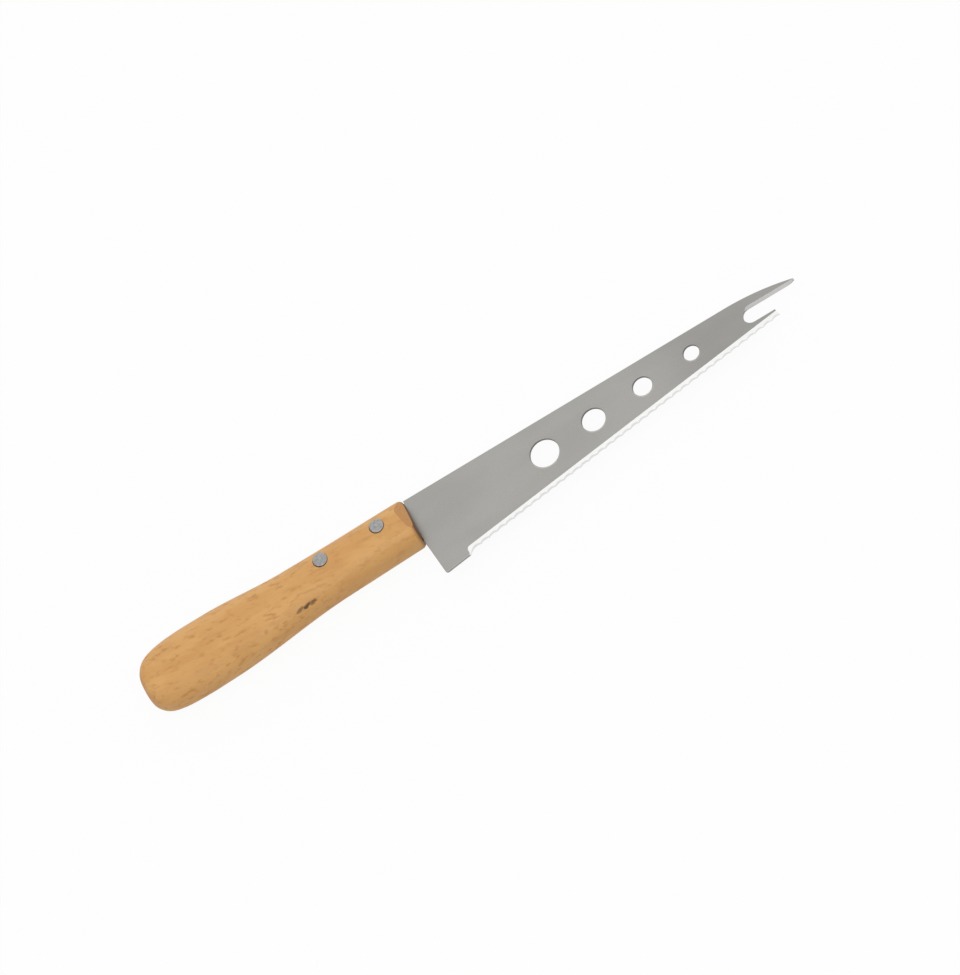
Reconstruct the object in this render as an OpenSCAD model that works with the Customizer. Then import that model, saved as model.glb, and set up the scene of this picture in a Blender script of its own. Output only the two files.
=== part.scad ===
// Cheese knife: a wooden handle with a sawn kerf, a pierced blade with a forked tip and a
// waved edge, and two two-part rivets that clamp the handle on the blade's tang.
// The knife lies on one side of its handle. X runs along it to the tip, Y towards the spine.

/* [Blade] */
// Length from the front end of the handle to the tip of the long prong
blade_len = 155; // [150:1:175]
// Thickness of the sheet
blade_t = 1.2; // [1:0.1:1.8]
// Depth of the blade at the heel corner, below the spine
heel_depth = 33.4; // [30:0.5:38]
// How far the heel corner stands in front of the handle's end
heel_lean = 1.6; // [0.5:0.1:3]
// Radius of the heel corner
heel_r = 1; // [0.4:0.1:1.5]
// Depth of the edge below the spine, at the end of the short prong
tip_depth = 13; // [12.6:0.1:14]
// Length over which the spine curves down to the long prong's tip
nose_len = 26; // [20:0.5:30]
// How far the spine has come down at that tip
nose_drop = 3.6; // [3:0.1:3.9]
// Length over which that prong's inner edge curves up to its tip
tip_len = 3.2; // [1.5:0.1:5]
// Height of the blunt end that is left at the tip
tip_blunt = 0.35; // [0.2:0.05:0.5]

/* [Fork] */
// Width of the gap between the prongs
gap_w = 5.9; // [5:0.1:6.4]
// Distance from the long prong's tip to the centre of the gap's round root
gap_len = 18.8; // [16:0.2:22]
// Depth of the gap's middle below the spine
gap_depth = 7.6; // [7.2:0.1:8]
// How far the short prong stops behind the long one
prong_step = 9.9; // [7:0.1:12]
// How much further the short prong reaches at its edge than at the gap
prong_slant = 0.7; // [0:0.1:1.2]
// Width of the ground face along the long prong's inner edge
gap_flare = 0.9; // [0.6:0.1:1.3]
// Thickness that this grinding leaves at the prong's inner edge
gap_land = 0.1; // [0.06:0.01:0.2]

/* [Holes] */
// Number of round holes in the blade
hole_count = 4; // [2:1:4]
// Diameter of the hole nearest the handle
hole_big_d = 10.7; // [8:0.1:13]
// Diameter of the hole nearest the tip
hole_small_d = 5.9; // [4:0.1:7]
// Distance from the handle to the first hole's centre
hole_first = 51; // [46:0.2:53]
// Distance between the centres of neighbouring holes
hole_pitch = 20.3; // [18:0.1:21]

/* [Edge] */
// Distance from the handle to the start of the ground edge
grind_from = 11.8; // [8:0.2:16]
// Width of the ground edge at its start
grind_heel_w = 2.9; // [2.2:0.1:3.6]
// Width of the ground edge at the short prong's end
grind_tip_w = 1.8; // [1.4:0.1:2.2]
// Radius of the ground face's inner corner, at its start
grind_r = 1.2; // [0.5:0.1:1.6]
// Thickness that the grinding leaves at the very edge
edge_land = 0.1; // [0.06:0.01:0.2]
// Length of one wave of the edge
wave_len = 3.6; // [3:0.1:6]
// Distance from the start of the ground edge to the first wave's own start
wave_lead = 1.6; // [1:0.1:3]
// How far the points between the waves stand back from the heel's edge line, at the start
wave_heel_back = 1.1; // [0.3:0.05:1.3]
// The same at the short prong's end
wave_tip_back = 0.1; // [0.05:0.05:0.3]
// How far a wave's hollow cuts in behind those points
wave_depth = 0.4; // [0.2:0.05:0.6]
// Angle between the waves' flutes and the sheet
wave_lean = 62; // [45:1:70]

/* [Tang] */
// Length of the tang inside the handle
tang_len = 44; // [41:0.5:60]
// Height of the tang
tang_h = 12.2; // [11:0.1:13]
// Depth of the tang's upper edge below the spine
tang_drop = 1; // [0.8:0.1:1.6]
// Radius of the tang's rear corners
tang_r = 3; // [1:0.5:5]

/* [Handle] */
// Length of the handle
handle_len = 109.5; // [100:1:125]
// Thickness across its flat sides
handle_t = 15; // [13:0.5:18]
// Height at the front end
handle_front_h = 17.6; // [16.5:0.1:20]
// Depth of its upper edge below the spine, at the front end
handle_drop = 0.6; // [0.2:0.1:0.9]
// How far the upper edge dips behind the front end
waist_dip = 0.45; // [0:0.05:0.6]
// How far the upper edge rises again towards the butt
crown_rise = 1.7; // [1:0.1:3]
// How far the lower edge slopes down evenly from the front end to the belly
low_slope = 3.3; // [1:0.1:5]
// How far it swells below that slope towards the belly
belly_drop = 2.9; // [1:0.1:5]
// Depth of the butt's end point below the spine
butt_depth = 13.3; // [11:0.1:15]
// Length over which the sides round off into the butt
butt_round = 9; // [6:0.5:12]
// Radius of the long edges
edge_r = 6; // [3:0.5:6.4]
// Radius around the front end
front_r = 1.8; // [0.6:0.1:2.2]
// Length of the slanting cut on each side of the front end, along its upper edge
bevel_top = 4.8; // [3:0.1:6]
// Length of that cut along its lower edge
bevel_low = 1.4; // [1:0.1:2.5]
// How much that cut takes off the handle's side at the front end
bevel_drop = 2.4; // [1:0.1:3]

/* [Rivets] */
// Distance from the handle's front end to the front rivet
rivet_from = 11.4; // [9:0.1:14]
// Distance between the rivets
rivet_pitch = 22.7; // [18:0.1:25]
// Depth of the rivets below the spine
rivet_depth = 7.1; // [6.6:0.1:7.6]
// Diameter of the heads
head_d = 5.2; // [4.8:0.1:6]
// Depth of the seats that the heads sink into
head_seat = 1.2; // [0.8:0.1:2]
// How far the heads on the upper side stand proud of the wood
head_proud = 0.4; // [0.1:0.05:0.6]
// Diameter of the sleeve's shank
sleeve_d = 4; // [3.6:0.1:4.4]
// Diameter of the post's shank
post_d = 2.5; // [2:0.1:2.8]

/* [Fits] */
// Gap between the tang and each wall of the kerf
kerf_clear = 0.05; // [0.02:0.01:0.1]
// Gap below the tang's lower edge and behind its end
kerf_end_clear = 1; // [0.4:0.1:1.5]
// Gap around the sleeve in the wood and in the tang
bore_clear = 0.05; // [0.02:0.01:0.15]
// Gap around the post in the sleeve
post_clear = 0.02; // [0.01:0.01:0.05]
// Gap around a head in its seat
seat_clear = 0.15; // [0.1:0.05:0.35]
// Gap left at the end of each shank
shank_clear = 0.6; // [0.3:0.1:1]

/* [Hidden] */
steel = [0.66, 0.66, 0.64];
beech = [0.82, 0.63, 0.41];
rivet_metal = [0.68, 0.70, 0.73];
$fn = 96;
// Cuts run this far past the faces that they open
overrun = 2;

// Where along the handle its outline turns, as shares of its length
waist_share = 0.34;
crown_from_share = 0.44;
crown_share = 0.72;
belly_from_share = 0.3;
belly_share = 0.8;
// The butt is a superellipse: 2 is a plain ellipse, and more is squarer
butt_power_share = 3.4;
// Depth of a hole's centre, as a share of the flat blade's depth there
hole_mid_share = 0.525;
// A section's corners take at most this much of its half width
corner_share = 0.98;
// The grinding's wedge runs past both its borders by this share of its width
grind_over_share = 0.3;
// The share of a head's proud height that its edge is broken by
head_break_share = 0.6;

short_x = blade_len - prong_step;
gap_x = blade_len - gap_len;
gap_r = gap_w / 2;
nose_r = (nose_len * nose_len + nose_drop * nose_drop) / (2 * nose_drop);
gap_top = gap_depth - gap_r;
tip_rise = gap_top - nose_drop - tip_blunt;
tip_r = (tip_len * tip_len + tip_rise * tip_rise) / (2 * tip_rise);
tip_a = asin(tip_len / tip_r);
tang_low = tang_drop + tang_h;
crown_at = handle_len * crown_share;
belly_at = handle_len * belly_share;
side_at = handle_len - butt_round;

// Depth of the edge line below the spine, x in front of the handle
edge_slope = (heel_depth - tip_depth) / (short_x - heel_lean);
edge_a = atan(edge_slope);
function edge_depth(x) = heel_depth - (x - heel_lean) * edge_slope;

// The round heel corner, between the heel's end and the edge line, and the long prong's curved
// inner edge, as short straight steps
arc_steps = 14;
function arc(centre, r, from_a, to_a, steps = arc_steps) =
    [for (k = [0 : steps])
        let (a = from_a + (to_a - from_a) * k / steps)
        centre + r * [cos(a), sin(a)]];
heel_rise = heel_depth - handle_drop - handle_front_h;
heel_end_a = 90 + atan(heel_lean / heel_rise);
heel_mid_a = (heel_end_a + edge_a) / 2;
heel_reach = heel_r / sin((heel_end_a - edge_a) / 2);
heel_mid = [heel_lean, -heel_depth] + heel_reach * [cos(heel_mid_a), sin(heel_mid_a)];

// Width of the ground face across the blade, measured along Y
grind_run = short_x - grind_from;
function grind_w(x) =
    grind_heel_w + (grind_tip_w - grind_heel_w) * (x - grind_from) / grind_run;

// The waves share the edge evenly, and stand back less and less towards the tip
wave_from = grind_from + wave_lead;
wave_run = short_x - wave_from;
wave_count = ceil(wave_run / wave_len);
function wave_back(x) =
    wave_heel_back + (wave_tip_back - wave_heel_back) * (x - wave_from) / wave_run;

// The line where the ground face meets the flat of the blade, and the round inner corner
grind_line_a = atan(edge_slope + (grind_tip_w - grind_heel_w) / grind_run);
grind_half_a = (grind_line_a + 90) / 2;
grind_corner = [grind_from, grind_heel_w - edge_depth(grind_from)];
grind_inward = [cos(grind_half_a - 90), sin(grind_half_a - 90)];
grind_mid = grind_corner + grind_r / sin(grind_half_a) * grind_inward;

// Depth of a hole's centre: midway between the spine and the ground face
function hole_depth(x) = hole_mid_share * (edge_depth(x) - grind_w(x));

// Each hole is smaller than the last by the same ratio
function hole_d(i) = hole_big_d * pow(hole_small_d / hole_big_d, i / (hole_count - 1));

// The handle's outline, d behind its front end
function smooth(t) = let (c = min(1, max(0, t))) c * c * (3 - 2 * c);
function cap(d, from) =
    d <= from ? 1
    : let (t = min(1, (d - from) / (handle_len - from)))
      pow(1 - pow(t, butt_power_share), 1 / butt_power_share);
function plain_top(d) =
    waist_dip * -smooth(d / (handle_len * waist_share))
    + crown_rise * smooth((d / handle_len - crown_from_share) / (crown_share - crown_from_share))
    - handle_drop;
function plain_low(d) =
    belly_drop * -smooth((d / handle_len - belly_from_share) / (crown_share - belly_from_share))
    - low_slope * min(1, d / belly_at) - handle_drop - handle_front_h;
function top_y(d) = (plain_top(d) + butt_depth) * cap(d, crown_at) - butt_depth;
function low_y(d) = (plain_low(d) + butt_depth) * cap(d, belly_at) - butt_depth;
function side_z(d) = handle_t / 2 * cap(d, side_at);
function front_inset(d) =
    d >= front_r ? 0 : front_r - sqrt(front_r * front_r - pow(front_r - d, 2));

// The places of the handle's sections: close together at both rounded ends
front_steps = 5;
body_steps = 22;
side_steps = 10;
butt_steps = 9;
function even(from, to, steps) = [for (i = [0 : steps - 1]) from + (to - from) * i / steps];
function bowed(from, to, steps) =
    [for (i = [0 : steps - 1]) from + (to - from) * sin(90 * i / steps)];
section_at = concat(
    [for (i = [0 : front_steps - 1]) front_r * (1 - cos(90 * i / front_steps))],
    even(front_r, crown_at, body_steps),
    even(crown_at, side_at, side_steps),
    bowed(side_at, handle_len, butt_steps)
);

// One section: a rectangle with round corners, as points from its upper right corner round
corner_steps = 8;
function section(d) =
    let (
        inset = front_inset(d),
        mid = (top_y(d) + low_y(d)) / 2,
        half_h = (top_y(d) - low_y(d)) / 2 - inset,
        half_t = side_z(d) - inset,
        r = min(edge_r - inset, corner_share * half_h, corner_share * half_t)
    )
    [for (q = [0 : 3], k = [0 : corner_steps])
        let (
            a = 90 * (q + k / corner_steps),
            sy = q == 0 || q == 3 ? 1 : -1,
            sz = q < 2 ? 1 : -1
        )
        [-d, mid + sy * (half_h - r) + r * cos(a), sz * (half_t - r) + r * sin(a)]
    ];

// The whole outline's highest and lowest points and the knife's middle, for the origin
knife_top = max([for (d = section_at) top_y(d)]);
knife_low = heel_mid[1] - heel_r;
mid_x = (blade_len - handle_len) / 2;
mid_y = (max(0, knife_top) + knife_low) / 2;

// The knife is drawn from the corner where the spine meets the handle, and then set down
module set_down() translate([-mid_x, -mid_y, handle_t / 2]) children();

// A loft through the sections, closed flat in front and by a pole at the butt
module handle_form() {
    rings = [for (d = section_at) section(d)];
    n = len(rings[0]);
    last = len(rings) - 1;
    pole = len(rings) * n;
    points = concat([for (ring = rings, p = ring) p], [[-handle_len, -butt_depth, 0]]);
    front = [[for (k = [0 : n - 1]) k]];
    walls = [for (i = [0 : last - 1], k = [0 : n - 1], half = [0, 1])
        let (a = i * n + k, b = i * n + (k + 1) % n)
        half == 0 ? [a, a + n, b] : [b, a + n, b + n]
    ];
    butt = [for (k = [0 : n - 1]) [last * n + k, pole, last * n + (k + 1) % n]];
    polyhedron(points, concat(front, walls, butt));
}

// The slanting cut that thins one side of the handle's front end towards the blade
module front_bevel() {
    yaw = atan((bevel_top - bevel_low) / handle_front_h);
    tilt = atan(bevel_drop / (bevel_top * cos(yaw)));
    reach = handle_front_h + handle_t;
    translate([-bevel_top, -handle_drop, handle_t / 2])
        rotate([0, 0, yaw])
            rotate([0, tilt, 0])
                translate([0, -reach, 0])
                    cube([reach, 2 * reach, reach]);
}

// The saw kerf for the tang, open along the upper edge and at the front end
module kerf() {
    half_w = blade_t / 2 + kerf_clear;
    depth = tang_low + kerf_end_clear;
    length = tang_len + kerf_end_clear;
    translate([-length, -depth, -half_w])
        cube([length + overrun, depth + crown_rise + overrun, 2 * half_w]);
}

// Puts its children on both rivet axes
module at_rivet(place) {
    translate([-rivet_from - place * rivet_pitch, -rivet_depth, 0]) children();
}

module rivet_holes() {
    half_t = handle_t / 2;
    for (place = [0, 1])
        at_rivet(place) {
            cylinder(h = handle_t + 2 * overrun, d = sleeve_d + 2 * bore_clear, center = true);
            for (side = [0, 1])
                mirror([0, 0, side])
                    translate([0, 0, half_t - head_seat])
                        cylinder(h = head_seat + overrun, d = head_d + 2 * seat_clear);
        }
}

module handle() {
    color(beech)
        set_down()
            difference() {
                handle_form();
                for (side = [0, 1])
                    mirror([0, 0, side]) front_bevel();
                kerf();
                rivet_holes();
            }
}

// The blade seen from its side, without its holes: heel, prongs, spine and tang
module blade_outline() {
    difference() {
        union() {
            intersection() {
                polygon(concat(
                    [[0, 0], [0, -handle_drop - handle_front_h]],
                    arc(heel_mid, heel_r, heel_end_a + 90, edge_a + 270),
                    [
                        [short_x, -tip_depth],
                        [short_x - prong_slant, -gap_depth - gap_r],
                        [short_x - prong_slant, -gap_depth],
                        [blade_len, -gap_depth],
                        [blade_len, 0]
                    ]
                ));
                union() {
                    translate([0, -heel_depth]) square([blade_len - nose_len, heel_depth]);
                    translate([blade_len - nose_len, -nose_r]) circle(r = nose_r, $fn = 720);
                }
            }
            tang_outline();
        }
        translate([gap_x, -gap_depth]) circle(r = gap_r);
        translate([gap_x, -gap_depth - gap_r]) square([gap_len + overrun, gap_w]);
        polygon(concat(
            [[blade_len + overrun, tip_rise - gap_top], [blade_len + overrun, -gap_depth]],
            [[blade_len - tip_len, -gap_depth]],
            arc([blade_len - tip_len, tip_r - gap_top], tip_r, -90, tip_a - 90)
        ));
    }
}

module tang_outline() {
    translate([-tang_len + tang_r, -tang_low]) square([tang_len, tang_h]);
    translate([-tang_len, -tang_low + tang_r]) square([tang_r, tang_h - 2 * tang_r]);
    for (y = [-tang_drop - tang_r, -tang_low + tang_r])
        translate([-tang_len + tang_r, y]) circle(r = tang_r);
}

module blade_holes() {
    for (i = [0 : hole_count - 1])
        let (x = hole_first + i * hole_pitch)
        translate([x, -hole_depth(x), 0])
            cylinder(h = blade_t + 2 * overrun, d = hole_d(i), center = true);
    for (place = [0, 1])
        at_rivet(place)
            cylinder(h = blade_t + 2 * overrun, d = sleeve_d + 2 * bore_clear, center = true);
}

// The leaning cut that thins the long prong's inner edge and the gap's root
module gap_grind() {
    lean = atan(gap_flare / (blade_t - gap_land));
    narrow_r = gap_r * cos(lean);
    reach = blade_t + 2 * overrun;
    translate([gap_x + gap_flare / 2, -gap_depth, gap_land - blade_t / 2])
        rotate([-lean, 0, 0])
            translate([0, 0, -reach])
                linear_extrude(height = 3 * reach)
                    polygon(concat(
                        arc([0, 0], narrow_r, 90, 270, 2 * arc_steps),
                        [[gap_len + overrun, -narrow_r], [gap_len + overrun, narrow_r]]
                    ));
}

// The wedge that the grinding takes off the edge, wider at the heel than at the tip, with a
// round inner corner where the grinding starts
module grind_wedge() {
    shares = [-grind_over_share, 1 + grind_over_share];
    heights = [for (t = shares) edge_land - blade_t / 2 + t * (blade_t - edge_land)];
    points = [for (i = [0 : wave_count + 1])
        let (x = grind_from + grind_run * i / wave_count)
        for (p = [[0, 0], [1, 1], [0, 1]])
            [x, shares[p[0]] * grind_w(x) - edge_depth(x), heights[p[1]]]
    ];
    last = 3 * (wave_count + 1);
    walls = [for (i = [0 : wave_count])
        let (n = 3 * i)
        for (face = [
            [n, n + 3, n + 4],
            [n, n + 4, n + 1],
            [n + 1, n + 4, n + 5, n + 2],
            [n + 2, n + 5, n + 3, n]
        ]) face
    ];
    difference() {
        polyhedron(points, concat([[0, 1, 2], [last + 2, last + 1, last]], walls));
        linear_extrude(height = blade_t + 2 * overrun, center = true)
            polygon(concat(
                [grind_corner - overrun * grind_inward],
                arc(grind_mid, grind_r, grind_line_a + 90, 180)
            ));
    }
}

// The waves: round flutes that lean more than the ground face and cut into the edge line
module waves() {
    half_chord = wave_run / wave_count / 2;
    sag = wave_depth * sin(wave_lean);
    wheel_r = (half_chord * half_chord + sag * sag) / (2 * sag);
    for (i = [0 : wave_count - 1])
        let (x = wave_from + wave_run * (i + 0.5) / wave_count)
        translate([x, -edge_depth(x), -blade_t / 2])
            rotate([0, 0, edge_a])
                translate([0, wave_back(x) + wave_depth, 0])
                    rotate([wave_lean, 0, 0])
                        translate([0, -overrun, wheel_r])
                            rotate([-90, 0, 0])
                                cylinder(h = blade_t + 3 * overrun, r = wheel_r);
}

// The blade before its edge is waved
module ground_blade() {
    difference() {
        linear_extrude(height = blade_t, center = true) blade_outline();
        blade_holes();
        gap_grind();
        grind_wedge();
    }
}

module blade() {
    color(steel)
        set_down()
            difference() {
                ground_blade();
                waves();
            }
}

// The sleeve: the head on the upper side and a tube that runs down through the tang
module rivet_sleeve(place) {
    top_z = handle_t / 2 + head_proud;
    seat_z = handle_t / 2 - head_seat;
    foot_z = -seat_z + shank_clear;
    broken = head_proud * head_break_share;
    color(rivet_metal)
        set_down()
            at_rivet(place)
                difference() {
                    union() {
                        translate([0, 0, foot_z])
                            cylinder(h = seat_z - foot_z, d = sleeve_d);
                        translate([0, 0, seat_z])
                            cylinder(h = top_z - broken - seat_z, d = head_d);
                        translate([0, 0, top_z - broken])
                            cylinder(h = broken, d1 = head_d, d2 = head_d - 2 * broken);
                    }
                    translate([0, 0, foot_z - overrun])
                        cylinder(h = seat_z - foot_z + overrun, d = post_d + 2 * post_clear);
                }
}

// The post: the head on the lower side, flush with the wood, and a pin up into the sleeve
module rivet_post(place) {
    seat_z = handle_t / 2 - head_seat;
    color(rivet_metal)
        set_down()
            at_rivet(place) {
                translate([0, 0, -handle_t / 2])
                    cylinder(h = head_seat, d = head_d);
                translate([0, 0, -seat_z])
                    cylinder(h = 2 * seat_z - shank_clear, d = post_d);
            }
}

blade();
handle();
rivet_sleeve(0);  // front_rivet_sleeve
rivet_post(0);  // front_rivet_post
rivet_sleeve(1);  // rear_rivet_sleeve
rivet_post(1);  // rear_rivet_post
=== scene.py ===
"""The dressed cheese knife: wood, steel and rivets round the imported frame, with light and camera.

Lengths are millimetres in the knife's own coordinates: x in front of the handle, y above the
spine (so the blade lies below it), z above the middle of the sheet. at() turns them into the
frame's metres.
"""
import math

import bmesh
import bpy
import numpy as np
from mathutils import Matrix, Vector


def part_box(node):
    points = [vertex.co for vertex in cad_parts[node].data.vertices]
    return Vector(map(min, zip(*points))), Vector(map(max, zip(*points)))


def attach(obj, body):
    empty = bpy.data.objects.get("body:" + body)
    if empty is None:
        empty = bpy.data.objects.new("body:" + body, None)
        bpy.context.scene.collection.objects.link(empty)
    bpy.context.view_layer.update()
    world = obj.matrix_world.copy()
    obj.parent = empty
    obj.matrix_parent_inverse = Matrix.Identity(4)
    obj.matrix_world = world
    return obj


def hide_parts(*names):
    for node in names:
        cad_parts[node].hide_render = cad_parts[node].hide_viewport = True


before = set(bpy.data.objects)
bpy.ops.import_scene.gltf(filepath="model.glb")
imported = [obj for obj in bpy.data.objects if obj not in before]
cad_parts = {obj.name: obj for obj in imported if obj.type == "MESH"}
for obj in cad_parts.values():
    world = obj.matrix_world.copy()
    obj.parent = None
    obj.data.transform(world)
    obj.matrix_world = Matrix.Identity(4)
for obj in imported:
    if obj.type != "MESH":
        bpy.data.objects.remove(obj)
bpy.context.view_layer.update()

MM = 0.001

# Blade, as in the part
BLADE_LEN = 155.0
BLADE_T = 1.2
HEEL_DEPTH = 33.4
HEEL_LEAN = 1.6  # how far the heel corner stands in front of the handle's end
HEEL_R = 1.0
TIP_DEPTH = 13.0  # depth of the edge at the end of the short prong
NOSE_LEN = 26.0  # the spine curves down over this length
NOSE_DROP = 3.6
TIP_LEN = 3.2  # the long prong's inner edge curves up over this length
TIP_BLUNT = 0.35  # height that is left at the tip

# Fork, as in the part
GAP_W = 5.9
GAP_LEN = 18.8  # from the long prong's tip to the centre of the gap's round root
GAP_DEPTH = 7.6
PRONG_STEP = 9.9  # how far the short prong stops behind the long one
PRONG_SLANT = 0.7  # how much further the short prong reaches at its edge
GAP_FLARE = 0.9  # width of the ground face along the gap
GAP_LAND = 0.1  # thickness that this grinding leaves

# Holes, as in the part
HOLE_COUNT = 4
HOLE_BIG = 10.7
HOLE_SMALL = 5.9
HOLE_FIRST = 51.0
HOLE_PITCH = 20.3
HOLE_MID = 0.525  # depth of a hole's centre, as a share of the flat blade's depth there

# Edge, as in the part
GRIND_FROM = 11.8
GRIND_HEEL_W = 2.9
GRIND_TIP_W = 1.8
GRIND_R = 1.2
GRIND_OVER = 0.3  # the wedge runs past both its borders by this share of its width
EDGE_LAND = 0.1
WAVE_LEN = 3.6
WAVE_LEAD = 1.6  # from the start of the ground edge to the start of the waves
WAVE_HEEL_BACK = 1.1  # how far the points between the waves stand back, at the start
WAVE_TIP_BACK = 0.1  # the same at the short prong's end
WAVE_DEPTH = 0.4
WAVE_LEAN = 62.0  # angle between the waves' flutes and the sheet

# Tang, as in the part
TANG_LEN = 44.0
TANG_H = 12.2
TANG_DROP = 1.0
TANG_R = 3.0

# Handle, as in the part
HANDLE_LEN = 109.5
HANDLE_T = 15.0
FRONT_H = 17.6
HANDLE_DROP = 0.6  # depth of its upper edge below the spine, at the front end
WAIST_DIP = 0.45
CROWN_RISE = 1.7
LOW_SLOPE = 3.3
BELLY_DROP = 2.9
BUTT_DEPTH = 13.3
BUTT_ROUND = 9.0
EDGE_R = 6.0
FRONT_R = 1.8
BEVEL_TOP = 4.8  # length of the slanting cut at the front end, along its upper edge
BEVEL_LOW = 1.4  # the same along its lower edge
BEVEL_DROP = 2.4  # what that cut takes off the side at the front end

# Where the handle's outline turns, as shares of its length
WAIST_SHARE = 0.34
CROWN_FROM = 0.44
CROWN_SHARE = 0.72
BELLY_FROM = 0.3
BELLY_SHARE = 0.8
BUTT_POWER = 3.4  # the butt is a superellipse of this power
CORNER_SHARE = 0.98  # a section's corners take at most this share of its half width

# Rivets and fits, as in the part
RIVET_FROM = 11.4
RIVET_PITCH = 22.7
RIVET_DEPTH = 7.1
HEAD_D = 5.2
HEAD_SEAT = 1.2  # depth of the seats that the heads sink into
HEAD_PROUD = 0.4
SLEEVE_D = 4.0
POST_D = 2.5
KERF_CLEAR = 0.05
KERF_END = 1.0  # gap below the tang and behind its end
BORE_CLEAR = 0.05
POST_CLEAR = 0.02
SEAT_CLEAR = 0.15
SHANK_CLEAR = 0.6  # gap left at the end of each shank

# Broken edges and other details that only this script has
WOOD_BREAK = 0.22
SHEET_BREAK = 0.1
SHEET_BREAK_MID = 0.3  # the break's middle ring lies at this share of it
HOLE_BREAK = 0.12
SHANK_BREAK = 0.1
HEAD_BREAK = 0.05
PIN_BREAK = 0.2
SEAT_SHIFT = 0.09  # the upper seats sit this far off their heads
# A punched hole's drawn rim: how far out from the wall, and how deep below the face
ROLL = ((0.02, 0.16), (0.10, 0.085), (0.28, 0.045), (0.55, 0.018), (0.9, 0.0))
# A head's dome: how far in from its rim, and how far below its top
DOME = ((0.0, 0.26), (0.03, 0.17), (0.09, 0.1), (0.2, 0.055), (0.6, 0.025), (1.4, 0.006))
# The edge of a lower head: how far in from its rim, and how far above the flat
FOOT_EDGE = ((0.14, 0.0), (0.05, 0.03), (0.0, 0.12))

# How far the cutters reach past what they cut
WOOD_PAST = 2.0  # the rivets' bores and seats, past the handle's sides
SHEET_PAST = 1.0  # the blade's holes, past its faces
TANG_BORE_HALF = 2.0  # the tang's bores, from the middle of the sheet
BEVEL_OUT = 30.0  # the slanting cut's box, out of the wood
BEVEL_DOWN = 40.0  # the same box, down the handle's front end
KERF_PAST_END = 5.0  # in front of the handle
KERF_PAST_TOP = 10.0  # above the spine
FORK_PAST = 4.0  # the gap's leaning cut, past the long prong's tip
FORK_LOW = -3.2  # its two ends, along its own axis
FORK_HIGH = 7.0
WEDGE_PAST = 1.0  # the ground face's wedge, behind its start
CORNER_PAST = 3.0  # what rounds the wedge's corner, behind it, below it and to both sides
CORNER_OUT = 2.0  # the same, out from the corner
FLUTE_LOW = -2.0  # a flute's two ends, along its own axis
FLUTE_HIGH = 5.2
FLUTE_OUT = 6.0  # a flute, from its axis away from its hollow

# More places where the sheet's wide faces are split, beside the rivets and the holes
SPLIT_AT = [-22.0, 6.0, 20.0, 30.0, 41.0, 142.0]

# How finely round forms are divided
TURN_STEPS = 96
HOLE_STEPS = 128
TANG_BORE_STEPS = 64
FRONT_STEPS = 7
BODY_STEPS = 78
BUTT_STEPS = 26
CORNER_STEPS = 12
FLAT_STEPS = 4

# Edges shorter than this are closed up, the steel's in two rounds
WOOD_SLIVER = 0.003
STEEL_SLIVERS = (0.003, 0.005)
# Points nearer to a splitting plane than this lie on it
SNAP = 0.001
# Drawing an outline in by an amount moves a sharp corner by at most the amount / MITRE
MITRE = 0.35
# Edges that turn by more degrees than this are softened by WOOD_BREAK
WOOD_SOFT_A = 21
# Edges that turn by more degrees than this stay sharp in the shading
WOOD_SHARP_A = 40
STEEL_SHARP_A = 20
RIVET_SHARP_A = 35

# Worked out from the sizes above
HALF_T = BLADE_T / 2
HALF_HANDLE = HANDLE_T / 2
SHORT_X = BLADE_LEN - PRONG_STEP
GAP_X = BLADE_LEN - GAP_LEN
GAP_R = GAP_W / 2
CROWN_AT = HANDLE_LEN * CROWN_SHARE
BELLY_AT = HANDLE_LEN * BELLY_SHARE
SIDE_AT = HANDLE_LEN - BUTT_ROUND
EDGE_SLOPE = (HEEL_DEPTH - TIP_DEPTH) / (SHORT_X - HEEL_LEAN)
EDGE_A = math.atan(EDGE_SLOPE)
GRIND_RUN = SHORT_X - GRIND_FROM
WAVE_FROM = GRIND_FROM + WAVE_LEAD
WAVE_RUN = SHORT_X - WAVE_FROM
WAVE_COUNT = math.ceil(WAVE_RUN / WAVE_LEN)
RIVET_AT = [-RIVET_FROM - place * RIVET_PITCH for place in (0, 1)]

# The knife's own origin in the frame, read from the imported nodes
handle_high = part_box("handle")[1]
blade_low, blade_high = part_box("blade")
ORIGIN = Vector((handle_high.x, blade_high.y, (blade_low.z + blade_high.z) / 2))


def at(x, y, z):
    """A place in the knife's coordinates as one in the frame."""
    return ORIGIN + Vector((x, y, z)) * MM


# Meshes
def new_object(name, verts, faces):
    """An object at the frame's origin from points in the knife's coordinates."""
    mesh = bpy.data.meshes.new(name)
    mesh.from_pydata([tuple(at(*v)) for v in verts], [], faces)
    mesh.validate()
    mesh.update()
    obj = bpy.data.objects.new(name, mesh)
    bpy.context.scene.collection.objects.link(obj)
    return obj


def wall_faces(count, size, turned=False):
    """The faces between each ring of points and the next, wound the other way if turned."""
    faces = []
    for i in range(count - 1):
        for k in range(size):
            a, b = i * size + k, i * size + (k + 1) % size
            faces.append((a, a + size, b + size, b) if turned else (a, b, b + size, a + size))
    return faces


def stack(name, rings):
    """A closed solid through rings of points, from low to high."""
    size = len(rings[0])
    verts = [point for ring in rings for point in ring]
    faces = wall_faces(len(rings), size)
    faces.append(tuple(reversed(range(size))))
    faces.append(tuple(range(len(verts) - size, len(verts))))
    return new_object(name, verts, faces)


def prism(name, outline, low, high):
    """An upright solid over an outline in the plane."""
    return stack(name, [[(x, y, z) for x, y in outline] for z in (low, high)])


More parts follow.
